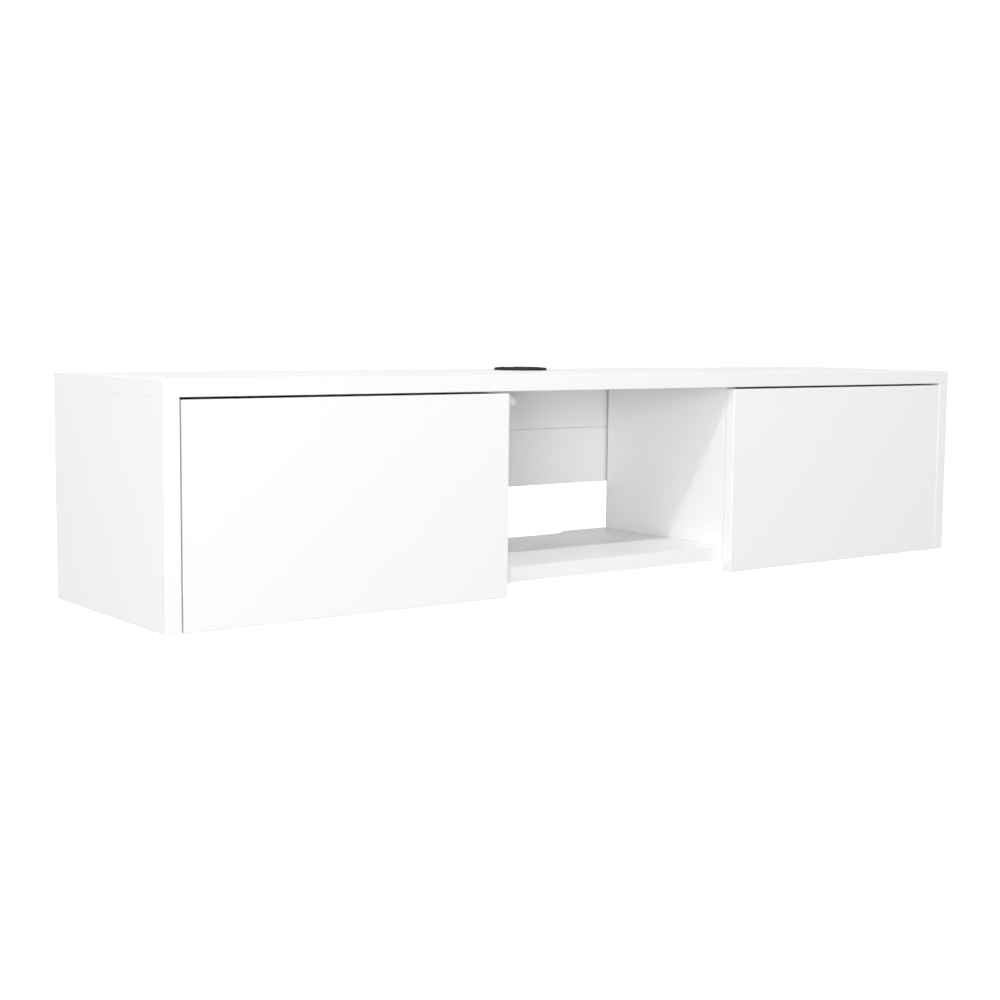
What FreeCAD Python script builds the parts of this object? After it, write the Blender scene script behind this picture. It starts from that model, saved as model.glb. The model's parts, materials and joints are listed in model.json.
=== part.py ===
import FreeCAD, Part
import os
import Sketcher

# Wall-hung television cabinet with two doors, hooked on a rail screwed to the wall.
# X runs left to right, Y runs from the front to the wall, Z is up.
# The origin is the centre of the wall rail's back face; the wall is the plane Y = 0.

doc = FreeCAD.newDocument("tv_cabinet")
sheet = doc.addObject("Spreadsheet::Sheet", "dims")

DRIVING = [
    ("cabinet_width", 1220, "overall width"),
    ("cabinet_depth", 278, "front plane to wall"),
    ("cabinet_height", 256, "underside of sides to top face"),
    ("cabinet_drop", 122, "underside of sides below the origin"),
    ("board", 18, "melamine board"),
    ("door_board", 15, "door board"),
    ("door_gap", 2, "gap beside a closed door"),
    ("door_head_gap", 2.5, "gap above a closed door"),
    ("door_buffer", 1, "closed door to the front edges behind it"),
    ("finger_pull", 14, "bottom panel above the door's lower edge"),
    ("centre_opening", 361, "width between the dividers"),
    ("rail_board", 30, "hanging and wall rail thickness"),
    ("rail_seam", 54, "front line of the rail joint above the origin"),
    ("rail_play", 0.1, "clearance between the two rail bevels"),
    ("rail_tip", 1.1, "height cut off the wall rail's sharp tip"),
    ("wall_rail_base", 23, "wall rail's lower edge below the origin"),
    ("wall_rail_half", 591, "half the wall rail's length"),
    ("wall_hole_pitch", 406.4, "wall screw spacing"),
    ("wall_hole", 5.5, "wall screw hole"),
    ("wall_sink", 10, "wall screw countersink"),
    ("back_board", 3, "hardboard back"),
    ("back_groove", 6, "groove depth for the back"),
    ("bottom_rear_gap", 21, "bottom panel's rear edge to the wall"),
    ("notch_depth", 20, "cable notch depth"),
    ("notch_half", 88, "half width of the notch's straight run"),
    ("notch_run", 25, "length of each sloping end of the notch"),
    ("notch_round", 38, "bend radius of the notch's ends"),
    ("grommet_back", 65, "cable outlet centre to the wall"),
    ("grommet_hole", 60, "cable outlet hole"),
    ("grommet_flange", 70, "outlet flange"),
    ("grommet_lip", 3.5, "flange height above the top"),
    ("cam_front", 70, "front fitting row behind the front plane"),
    ("cam_rear", 205, "rear fitting row behind the front plane"),
    ("dowel_front", 110, "front dowel row behind the front plane"),
    ("dowel_rear", 160, "rear dowel row behind the front plane"),
    ("cam_reach", 24, "cam centre from the joined edge"),
    ("cam_bore", 15, "cam bore"),
    ("cam_depth", 13.6, "cam bore depth"),
    ("cam_bolt_bore", 8, "cam bolt hole in a board edge"),
    ("cam_thread_bore", 7, "cam bolt hole in a board face"),
    ("cam_thread_depth", 11, "cam bolt depth in a board face"),
    ("dowel_size", 8, "dowel"),
    ("dowel_edge", 20, "dowel hole depth in an edge"),
    ("dowel_face", 11, "dowel hole depth in a face"),
    ("hinge_upper", 50, "upper hinge height above the origin"),
    ("hinge_lower", 60, "lower hinge below the origin"),
    ("hinge_plate_set", 53, "hinge plate screw row behind the front plane"),
    ("plate_screw_half", 16, "half the plate screw spacing"),
    ("cup_edge", 22.5, "cup centre from the door edge"),
    ("cup_size", 35, "cup diameter"),
    ("cup_depth", 11.5, "cup depth"),
    ("cup_screw_half", 24, "half the cup screw spacing"),
    ("cup_screw_step", 6, "cup screws inboard of the cup centre"),
    ("pivot_set", 9.5, "hinge pivot behind the front plane"),
    ("pivot_size", 4, "hinge pin"),
    ("link_step", 10, "pivot to the link bar"),
    ("link_bar", 2.5, "link bar thickness"),
    ("link_half", 5, "half the link's height"),
    ("catch_low", 70, "lower end of the catch above the origin"),
    ("catch_length", 36, "catch length"),
]
DERIVED = [
    ("half_width", "=cabinet_width / 2"),
    ("side_inner", "=cabinet_width / 2 - board"),
    ("front_face", "=-cabinet_depth"),
    ("inner_front", "=door_board + door_buffer - cabinet_depth"),
    ("base_level", "=-cabinet_drop"),
    ("top_under", "=cabinet_height - cabinet_drop - board"),
    ("top_level", "=cabinet_height - cabinet_drop"),
    ("floor_under", "=finger_pull - cabinet_drop"),
    ("floor_level", "=finger_pull + board - cabinet_drop"),
    ("divider_inner", "=centre_opening / 2"),
    ("divider_outer", "=centre_opening / 2 + board"),
    ("back_front", "=-rail_board - back_board"),
    ("door_outer", "=cabinet_width / 2 - board - door_gap"),
    ("door_top", "=cabinet_height - cabinet_drop - board - door_head_gap"),
    ("door_back", "=door_board - cabinet_depth"),
    ("cup_centre", "=cabinet_width / 2 - board - door_gap - cup_edge"),
    ("pivot_line", "=pivot_set - cabinet_depth"),
    ("plate_line", "=hinge_plate_set - cabinet_depth"),
]
for row, (alias, value, note) in enumerate(DRIVING, start=1):
    sheet.set(f"A{row}", note)
    sheet.set(f"B{row}", str(value))
    sheet.setAlias(f"B{row}", alias)
for row, (alias, formula) in enumerate(DERIVED, start=len(DRIVING) + 2):
    sheet.set(f"A{row}", alias.replace("_", " "))
    sheet.set(f"B{row}", formula)
    sheet.setAlias(f"B{row}", alias)
doc.recompute()

nodes = []
SIDES = ("left", "right")


def mm(text):
    """Expression text in which every dimension name is read from the sheet."""
    words = str(text).replace("(", " ( ").replace(")", " ) ").split()
    names = {alias for alias, *_ in DRIVING} | {alias for alias, _ in DERIVED}
    return " ".join(f"dims.{w}" if w in names else w for w in words)


def on_side(side, text):
    """A distance from the centre plane as an X position on one side."""
    return f"- ( {text} )" if side == "left" else text


def side_span(side, inner, outer):
    """Lower X end and length of a piece that runs from inner to outer on one side."""
    start = f"- ( {outer} )" if side == "left" else inner
    return start, f"( {outer} ) - ( {inner} )"


def bind(obj, prop, text):
    obj.setExpression(prop, mm(text))


def keep(obj, label):
    obj.Label = label
    nodes.append(obj)
    return obj


# ---- boards: bodies with sketches, pads and pockets ----

def new_sketch(body, name, role, offset):
    sk = body.newObject("Sketcher::SketchObject", name)
    plane = next(f for f in body.Origin.OriginFeatures if f.Role == role)
    sk.AttachmentSupport = [(plane, "")]
    sk.MapMode = "FlatFace"
    bind(sk, "AttachmentOffset.Base.z", offset)
    return sk


def place_point(sk, geo, pos, x, y):
    """Ties a sketch point to a position measured from the sketch origin."""
    for kind, text in (("DistanceX", x), ("DistanceY", y)):
        number = sk.addConstraint(Sketcher.Constraint(kind, -1, 1, geo, pos, 5.0))
        bind(sk, f"Constraints[{number}]", text)


def draw_outline(sk, points):
    """Closed outline of straight lines through the given positions."""
    count = len(points)
    seed = [FreeCAD.Vector(10.0 * k, 10.0 * ((k * 7) % 5), 0) for k in range(count)]
    for k in range(count):
        sk.addGeometry(Part.LineSegment(seed[k], seed[(k + 1) % count]), False)
    for k in range(count):
        sk.addConstraint(Sketcher.Constraint("Coincident", k, 2, (k + 1) % count, 1))
    for k, (x, y) in enumerate(points):
        place_point(sk, k, 1, x, y)


def rectangle(x0, x1, y0, y1):
    return [(x0, y0), (x1, y0), (x1, y1), (x0, y1)]


def new_board(label, role, offset, outline, thickness):
    """Board padded from an outline; the pad runs along the plane's normal."""
    body = doc.addObject("PartDesign::Body", label + "_body")
    sk = new_sketch(body, label + "_outline", role, offset)
    draw_outline(sk, outline)
    pad = body.newObject("PartDesign::Pad", label + "_pad")
    pad.Profile = sk
    bind(pad, "Length", thickness)
    doc.recompute()
    return keep(body, label)


def drill(body, name, role, offset, points, size, depth, inward=False):
    """Round holes from a plane; inward turns them along the plane's normal."""
    sk = new_sketch(body, name + "_sketch", role, offset)
    for k, (x, y) in enumerate(points):
        seed = FreeCAD.Vector(12.0 * k, 9.0, 0)
        sk.addGeometry(Part.Circle(seed, FreeCAD.Vector(0, 0, 1), 3.0), False)
        place_point(sk, k, 3, x, y)
        number = sk.addConstraint(Sketcher.Constraint("Diameter", k, 6.0))
        bind(sk, f"Constraints[{number}]", size)
    pocket = body.newObject("PartDesign::Pocket", name)
    pocket.Profile = sk
    pocket.Reversed = inward
    bind(pocket, "Length", depth)
    doc.recompute()
    return pocket


def groove(body, name, role, offset, outline, depth, inward=False):
    """Straight-sided recess from a plane."""
    sk = new_sketch(body, name + "_sketch", role, offset)
    draw_outline(sk, outline)
    pocket = body.newObject("PartDesign::Pocket", name)
    pocket.Profile = sk
    pocket.Reversed = inward
    bind(pocket, "Length", depth)
    doc.recompute()
    return pocket


# ---- fittings: solids joined and cut ----

def block(name, x, y, z, dx, dy, dz):
    obj = doc.addObject("Part::Box", name)
    for prop, text in (
        ("Length", dx), ("Width", dy), ("Height", dz),
        ("Placement.Base.x", x), ("Placement.Base.y", y), ("Placement.Base.z", z),
    ):
        bind(obj, prop, text)
    return obj


TURNS = {
    "x": FreeCAD.Rotation(FreeCAD.Vector(0, 1, 0), 90),
    "-x": FreeCAD.Rotation(FreeCAD.Vector(0, 1, 0), -90),
    "y": FreeCAD.Rotation(FreeCAD.Vector(1, 0, 0), -90),
    "-y": FreeCAD.Rotation(FreeCAD.Vector(1, 0, 0), 90),
    "z": FreeCAD.Rotation(),
    "-z": FreeCAD.Rotation(FreeCAD.Vector(1, 0, 0), 180),
}


def rod(name, way, x, y, z, radius, length):
    """Cylinder that starts at a point and runs along one of the axes."""
    obj = doc.addObject("Part::Cylinder", name)
    obj.Placement = FreeCAD.Placement(FreeCAD.Vector(), TURNS[way])
    for prop, text in (
        ("Radius", radius), ("Height", length),
        ("Placement.Base.x", x), ("Placement.Base.y", y), ("Placement.Base.z", z),
    ):
        bind(obj, prop, text)
    return obj


def taper(name, way, x, y, z, radius_from, radius_to, length):
    """Cone that starts at a point and runs along one of the axes."""
    obj = doc.addObject("Part::Cone", name)
    obj.Placement = FreeCAD.Placement(FreeCAD.Vector(), TURNS[way])
    for prop, text in (
        ("Radius1", radius_from), ("Radius2", radius_to), ("Height", length),
        ("Placement.Base.x", x), ("Placement.Base.y", y), ("Placement.Base.z", z),
    ):
        bind(obj, prop, text)
    return obj


def join(name, parts):
    obj = doc.addObject("Part::MultiFuse", name)
    obj.Shapes = parts
    obj.Refine = True
    return obj


def remove(name, base, tools):
    obj = doc.addObject("Part::Cut", name)
    obj.Base = base
    obj.Tool = tools[0] if len(tools) == 1 else join(name + "_tools", tools)
    return obj


def group(label, parts):
    obj = doc.addObject("Part::Compound", label + "_group")
    obj.Links = parts
    return keep(obj, label)


def behind(text):
    """Y position of a distance measured behind the front plane."""
    return f"{text} - cabinet_depth"


CAM_ROWS = (behind("cam_front"), behind("cam_rear"))
DOWEL_ROWS = (behind("dowel_front"), behind("dowel_rear"))
CAM_LEVEL = "top_under - cam_reach"
SIDE_MIDDLE = "half_width - board / 2"
DIVIDER_MIDDLE = "divider_inner + board / 2"
FLOOR_MIDDLE = "floor_under + board / 2"
RAIL_MIDDLE = "- rail_board / 2"
RAIL_BOLT = "board / 2 - rail_board"
RAIL_CAM_LEVEL = "top_under - 33"
RAIL_DOWEL_LEVEL = "top_under - 55"
RAIL_DOWELS = ("- 390", "0", "390")
RAIL_SCREW_LEVELS = ("top_under - 17", "top_under - 52")
CATCH_SCREW_LEVELS = ("catch_low + 5", "catch_low + catch_length - 5")
NAIL_LEVELS = ("- 80", "- 58")
HINGES = (("upper", "hinge_upper"), ("lower", "- hinge_lower"))

# ---- top panel ----

top = new_board(
    "top_panel", "XY_Plane", "top_under",
    rectangle("- half_width", "half_width", "front_face", "0"), "board",
)
drill(
    top, "outlet_hole", "XY_Plane", "top_level",
    [("0", "- grommet_back")], "grommet_hole", "board",
)
under_cams = []
under_dowels = []
for side in SIDES:
    for line in (SIDE_MIDDLE, DIVIDER_MIDDLE):
        under_cams += [(on_side(side, line), y) for y in CAM_ROWS]
        under_dowels += [(on_side(side, line), y) for y in DOWEL_ROWS]
under_dowels += [(x, RAIL_MIDDLE) for x in RAIL_DOWELS]
drill(
    top, "top_cam_holes", "XY_Plane", "top_under",
    under_cams, "cam_thread_bore", "cam_thread_depth", inward=True,
)
drill(
    top, "top_dowel_holes", "XY_Plane", "top_under",
    under_dowels, "dowel_size + 0.1", "dowel_face", inward=True,
)

# ---- bottom panel with the cable notch in its rear edge ----

REAR = "- bottom_rear_gap"
NOTCHED = "- bottom_rear_gap - notch_depth"
bottom = new_board(
    "bottom_panel", "XY_Plane", "floor_under",
    [
        ("- side_inner", "inner_front"), ("side_inner", "inner_front"),
        ("side_inner", REAR), ("notch_half + notch_run", REAR),
        ("notch_half", NOTCHED), ("- notch_half", NOTCHED),
        ("- notch_half - notch_run", REAR), ("- side_inner", REAR),
    ],
    "board",
)
pad = bottom.Tip
corners = [
    f"Edge{number}" for number, edge in enumerate(pad.Shape.Edges, start=1)
    if abs(edge.tangentAt(edge.FirstParameter).z) > 0.99
    and abs(edge.CenterOfMass.x) < sheet.get("notch_half") + sheet.get("notch_run") + 1
]
bends = bottom.newObject("PartDesign::Fillet", "notch_bends")
bends.Base = (pad, corners)
bind(bends, "Radius", "notch_round")
doc.recompute()
drill(
    bottom, "bottom_cam_bores", "XY_Plane", "floor_under",
    [(on_side(s, "side_inner - cam_reach"), y) for s in SIDES for y in CAM_ROWS],
    "cam_bore", "cam_depth", inward=True,
)
drill(
    bottom, "divider_screw_holes", "XY_Plane", "floor_under",
    [(on_side(s, DIVIDER_MIDDLE), y) for s in SIDES for y in CAM_ROWS],
    "7.1", "board", inward=True,
)
drill(
    bottom, "divider_screw_sinks", "XY_Plane", "floor_under",
    [(on_side(s, DIVIDER_MIDDLE), y) for s in SIDES for y in CAM_ROWS],
    "10.2", "3.2", inward=True,
)
for side in SIDES:
    start = on_side(side, "side_inner")
    drill(
        bottom, f"{side}_bolt_holes", "YZ_Plane", start,
        [(y, FLOOR_MIDDLE) for y in CAM_ROWS], "cam_bolt_bore", "cam_reach",
        inward=side == "left",
    )
    drill(
        bottom, f"{side}_edge_dowels", "YZ_Plane", start,
        [(y, FLOOR_MIDDLE) for y in DOWEL_ROWS], "dowel_size + 0.1", "dowel_edge",
        inward=side == "left",
    )

# ---- side panels, dividers and backs ----

for side in SIDES:
    toward_centre = side == "left"
    x_low, _ = side_span(side, "side_inner", "half_width")
    panel = new_board(
        f"{side}_side_panel", "YZ_Plane", x_low,
        rectangle("front_face", "0", "base_level", "top_under"), "board",
    )
    inner = on_side(side, "side_inner")
    drill(
        panel, f"{side}_panel_cams", "YZ_Plane", inner,
        [(y, CAM_LEVEL) for y in CAM_ROWS], "cam_bore", "cam_depth",
        inward=not toward_centre,
    )
    drill(
        panel, f"{side}_panel_bolts", "YZ_Plane", inner,
        [(y, FLOOR_MIDDLE) for y in CAM_ROWS] + [(RAIL_BOLT, RAIL_CAM_LEVEL)],
        "cam_thread_bore", "cam_thread_depth", inward=not toward_centre,
    )
    drill(
        panel, f"{side}_panel_dowels", "YZ_Plane", inner,
        [(y, FLOOR_MIDDLE) for y in DOWEL_ROWS] + [(RAIL_MIDDLE, RAIL_DOWEL_LEVEL)],
        "dowel_size + 0.1", "dowel_face", inward=not toward_centre,
    )
    drill(
        panel, f"{side}_plate_holes", "YZ_Plane", inner,
        [
            ("plate_line", f"{level} {sign} plate_screw_half")
            for _, level in HINGES for sign in "+-"
        ],
        "3.6", "14", inward=not toward_centre,
    )
    groove(
        panel, f"{side}_back_groove", "YZ_Plane", inner,
        rectangle("back_front - 0.1", "back_front + back_board + 0.1",
                  "floor_level - 0.1", "top_under"),
        "back_groove", inward=not toward_centre,
    )
    drill(
        panel, f"{side}_edge_bolts", "XY_Plane", "top_under",
        [(on_side(side, SIDE_MIDDLE), y) for y in CAM_ROWS],
        "cam_bolt_bore", "cam_reach",
    )
    drill(
        panel, f"{side}_edge_dowel_holes", "XY_Plane", "top_under",
        [(on_side(side, SIDE_MIDDLE), y) for y in DOWEL_ROWS],
        "dowel_size + 0.1", "dowel_edge",
    )

    x_low, _ = side_span(side, "divider_inner", "divider_outer")
    divider = new_board(
        f"{side}_divider", "YZ_Plane", x_low,
        rectangle("inner_front", "back_front", "floor_level", "top_under"), "board",
    )
    outer = on_side(side, "divider_outer")
    drill(
        divider, f"{side}_divider_cams", "YZ_Plane", outer,
        [(y, CAM_LEVEL) for y in CAM_ROWS], "cam_bore", "cam_depth",
        inward=toward_centre,
    )
    drill(
        divider, f"{side}_catch_holes", "YZ_Plane", outer,
        [("inner_front + 15.4", z) for z in CATCH_SCREW_LEVELS], "3.1", "12",
        inward=toward_centre,
    )
    drill(
        divider, f"{side}_divider_bolts", "XY_Plane", "top_under",
        [(on_side(side, DIVIDER_MIDDLE), y) for y in CAM_ROWS],
        "cam_bolt_bore", "cam_reach",
    )
    drill(
        divider, f"{side}_divider_dowels", "XY_Plane", "top_under",
        [(on_side(side, DIVIDER_MIDDLE), y) for y in DOWEL_ROWS],
        "dowel_size + 0.1", "dowel_edge",
    )
    drill(
        divider, f"{side}_foot_holes", "XY_Plane", "floor_level",
        [(on_side(side, DIVIDER_MIDDLE), y) for y in CAM_ROWS],
        "5.1", "33", inward=True,
    )
    drill(
        divider, f"{side}_rail_screw_holes", "XZ_Plane", "- back_front",
        [(on_side(side, DIVIDER_MIDDLE), z) for z in RAIL_SCREW_LEVELS],
        "4.1", "23", inward=True,
    )
    drill(
        divider, f"{side}_nail_holes", "XZ_Plane", "- back_front",
        [(on_side(side, DIVIDER_MIDDLE), z) for z in NAIL_LEVELS],
        "1.6", "18", inward=True,
    )

    back = new_board(
        f"{side}_back_panel", "XZ_Plane", "rail_board",
        rectangle(
            on_side(side, "divider_inner + 2"),
            on_side(side, "side_inner + back_groove - 0.5"),
            "floor_level", "top_under - 0.2",
        ),
        "back_board",
    )
    drill(
        back, f"{side}_back_screw_holes", "XZ_Plane", "- back_front",
        [(on_side(side, DIVIDER_MIDDLE), z) for z in RAIL_SCREW_LEVELS],
        "4.2", "back_board",
    )
    drill(
        back, f"{side}_back_nail_holes", "XZ_Plane", "- back_front",
        [(on_side(side, DIVIDER_MIDDLE), z) for z in NAIL_LEVELS],
        "1.6", "back_board",
    )

# ---- hanging rail and wall rail, joined by a 45 degree hook ----

hanging = new_board(
    "hanging_rail", "YZ_Plane", "- side_inner",
    [
        ("- rail_board", "rail_seam"), ("- rail_board", "top_under"),
        ("0", "top_under"), ("0", "rail_seam - rail_board"),
    ],
    "2 * side_inner",
)
for side in SIDES:
    start = on_side(side, "side_inner")
    drill(
        hanging, f"{side}_rail_bolt_hole", "YZ_Plane", start,
        [(RAIL_BOLT, RAIL_CAM_LEVEL)], "cam_bolt_bore", "cam_reach",
        inward=side == "left",
    )
    drill(
        hanging, f"{side}_rail_dowel_hole", "YZ_Plane", start,
        [(RAIL_MIDDLE, RAIL_DOWEL_LEVEL)], "dowel_size + 0.1", "dowel_edge",
        inward=side == "left",
    )
drill(
    hanging, "rail_cam_bores", "XZ_Plane", "rail_board",
    [(on_side(s, "side_inner - cam_reach"), RAIL_CAM_LEVEL) for s in SIDES],
    "cam_bore", "cam_depth",
)
drill(
    hanging, "rail_top_dowels", "XY_Plane", "top_under",
    [(x, RAIL_MIDDLE) for x in RAIL_DOWELS], "dowel_size + 0.1", "dowel_edge",
)
drill(
    hanging, "rail_screw_holes", "XZ_Plane", "0",
    [(on_side(s, DIVIDER_MIDDLE), z) for s in SIDES for z in RAIL_SCREW_LEVELS],
    "4.2", "rail_board", inward=True,
)
drill(
    hanging, "rail_screw_sinks", "XZ_Plane", "0",
    [(on_side(s, DIVIDER_MIDDLE), z) for s in SIDES for z in RAIL_SCREW_LEVELS],
    "8.2", "3.1", inward=True,
)

wall_rail = new_board(
    "wall_rail", "YZ_Plane", "- wall_rail_half",
    [
        ("- rail_board", "- wall_rail_base"), ("0", "- wall_rail_base"),
        ("0", "rail_seam - rail_board - rail_play"),
        ("rail_tip - rail_board", "rail_seam - rail_tip - rail_play"),
        ("- rail_board", "rail_seam - rail_tip - rail_play"),
    ],
    "2 * wall_rail_half",
)
WALL_HOLES = [("- wall_hole_pitch", "0"), ("0", "0"), ("wall_hole_pitch", "0")]
drill(wall_rail, "wall_holes", "XZ_Plane", "rail_board", WALL_HOLES,
      "wall_hole", "rail_board")
drill(wall_rail, "wall_hole_sinks", "XZ_Plane", "rail_board", WALL_HOLES,
      "wall_sink", "3")

# ---- doors ----

for side in SIDES:
    door = new_board(
        f"{side}_door", "XZ_Plane", "- door_back",
        rectangle(
            on_side(side, "divider_inner"), on_side(side, "door_outer"),
            "base_level", "door_top",
        ),
        "door_board",
    )
    drill(
        door, f"{side}_cup_bores", "XZ_Plane", "- door_back",
        [(on_side(side, "cup_centre"), level) for _, level in HINGES],
        "cup_size + 0.1", "cup_depth + 0.1", inward=True,
    )
    drill(
        door, f"{side}_cup_screw_holes", "XZ_Plane", "- door_back",
        [
            (on_side(side, "cup_centre - cup_screw_step"),
             f"{level} {sign} cup_screw_half")
            for _, level in HINGES for sign in "+-"
        ],
        "3.6", "12.2", inward=True,
    )
    drill(
        door, f"{side}_strike_screw_hole", "XZ_Plane", "- door_back",
        [(on_side(side, "divider_outer + 7.5"), "catch_low + catch_length / 2")],
        "3.1", "11", inward=True,
    )

# ---- concealed hinges ----

for side in SIDES:
    pins = []
    cup_screws = []
    centre = on_side(side, "cup_centre")
    for place, level in HINGES:
        tag = f"{side}_{place}_hinge"

        # cup let into the door, with its screw flange and the two pin holes
        shell = rod(f"{tag}_shell", "y", centre, "door_back - cup_depth", level,
                    "cup_size / 2", "cup_depth")
        rim = rod(f"{tag}_rim", "y", centre, "door_back", level, "19.5", "0.8")
        ear_x, ear_w = side_span(side, "cup_centre - 13", "cup_centre + 2")
        ears = block(f"{tag}_ears", ear_x, "door_back", f"{level} - 30",
                     ear_w, "0.8", "60")
        hollow = rod(f"{tag}_hollow", "y", centre, "door_back - cup_depth + 1", level,
                     "cup_size / 2 - 1", "cup_depth + 1")
        pin_hole = rod(f"{tag}_pin_hole", "z", centre, "pivot_line",
                       f"{level} - 17.2", "pivot_size / 2 + 0.02", "34.4")
        tools = [hollow, pin_hole]
        for number, sign in enumerate("+-"):
            z = f"{level} {sign} cup_screw_half"
            x = on_side(side, "cup_centre - cup_screw_step")
            tools.append(rod(f"{tag}_ear_hole_{number}", "y", x, "door_back - 1", z,
                             "1.85", "3"))
            shank = rod(f"{tag}_cup_shank_{number}", "-y", x, "door_back + 0.8", z,
                        "1.75", "12.6")
            head = taper(f"{tag}_cup_head_{number}", "y", x, "door_back + 0.8", z,
                         "3.6", "2.4", "1.4")
            cup_screws.append(join(f"{tag}_cup_screw_{number}", [shank, head]))
        cup_body = join(f"{tag}_cup_body", [shell, rim, ears])
        keep(remove(f"{tag}_cup_part", cup_body, tools), f"{tag}_cup")
        pins.append(rod(f"{tag}_pin", "z", centre, "pivot_line", f"{level} - 17",
                        "pivot_size / 2", "34"))

        # gooseneck link: knuckle on the pin, nose, and the bar that runs in the arm
        knuckle = rod(f"{tag}_knuckle", "z", centre, "pivot_line",
                      f"{level} - link_half", "3.2", "2 * link_half")
        nose_x, nose_w = side_span(side, "cup_centre - link_step - link_bar",
                                   "cup_centre")
        nose = block(f"{tag}_nose", nose_x, "pivot_line - 2.5",
                     f"{level} - link_half", nose_w, "5", "2 * link_half")
        bar_x, bar_w = side_span(side, "cup_centre - link_step - link_bar",
                                 "cup_centre - link_step")
        bar = block(f"{tag}_bar", bar_x, "pivot_line - 2.5",
                    f"{level} - link_half", bar_w, "59", "2 * link_half")
        link_body = join(f"{tag}_link_body", [knuckle, nose, bar])
        eye = rod(f"{tag}_eye", "z", centre, "pivot_line",
                  f"{level} - link_half - 1", "pivot_size / 2 + 0.05",
                  "2 * link_half + 2")
        keep(remove(f"{tag}_link_part", link_body, [eye]), f"{tag}_link")

        # fixed arm: sleeve round the link bar on a foot
        sleeve_x, sleeve_w = side_span(
            side, "cup_centre - link_step - link_bar - 1.55",
            "cup_centre - link_step + 1.55")
        sleeve = block(f"{tag}_sleeve", sleeve_x, behind("18.5"),
                       f"{level} - link_half - 1.55", sleeve_w, "51.5",
                       "2 * link_half + 3.1")
        way_x, way_w = side_span(
            side, "cup_centre - link_step - link_bar - 0.05",
            "cup_centre - link_step + 0.05")
        way = block(f"{tag}_way", way_x, behind("17.5"),
                    f"{level} - link_half - 0.05", way_w, "51.5",
                    "2 * link_half + 0.1")
        foot_x, foot_w = side_span(side, "cup_centre - link_step + 1.5",
                                   "side_inner - 20")
        foot = block(f"{tag}_foot", foot_x, behind("40"), f"{level} - 6.5",
                     foot_w, "26", "13")
        arm_body = join(f"{tag}_arm_body", [sleeve, foot])
        keep(remove(f"{tag}_arm_part", arm_body, [way]), f"{tag}_arm")

        # mounting plate screwed to the side panel
        wing_x, wing_w = side_span(side, "side_inner - 2", "side_inner")
        wing = block(f"{tag}_wing", wing_x, "plate_line - 8", f"{level} - 26",
                     wing_w, "16", "52")
        riser_x, riser_w = side_span(side, "side_inner - 20", "side_inner")
        riser = block(f"{tag}_riser", riser_x, behind("40"), f"{level} - 6.5",
                      riser_w, "26", "13")
        plate_body = join(f"{tag}_plate_body", [wing, riser])
        holes = [
            rod(f"{tag}_plate_hole_{number}",
                "x", on_side(side, "side_inner + 1") if side == "left"
                else "side_inner - 3", "plate_line",
                f"{level} {sign} plate_screw_half", "1.85", "4")
            for number, sign in enumerate("+-")
        ]
        keep(remove(f"{tag}_plate_part", plate_body, holes), f"{tag}_plate")
    group(f"{side}_hinge_pins", pins)
    group(f"{side}_cup_screws", cup_screws)

plate_screws = []
for side in SIDES:
    into = "-x" if side == "left" else "x"
    out = "x" if side == "left" else "-x"
    for place, level in HINGES:
        for number, sign in enumerate("+-"):
            name = f"{side}_{place}_plate_screw_{number}"
            z = f"{level} {sign} plate_screw_half"
            x = on_side(side, "side_inner - 2")
            shank = rod(f"{name}_shank", into, x, "plate_line", z, "1.75", "15.5")
            head = taper(f"{name}_head", out, x, "plate_line", z, "3.6", "2.4", "1.8")
            plate_screws.append(join(name, [shank, head]))
group("plate_screws", plate_screws)

# ---- magnetic catches, strike plates and door bumpers ----

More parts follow.
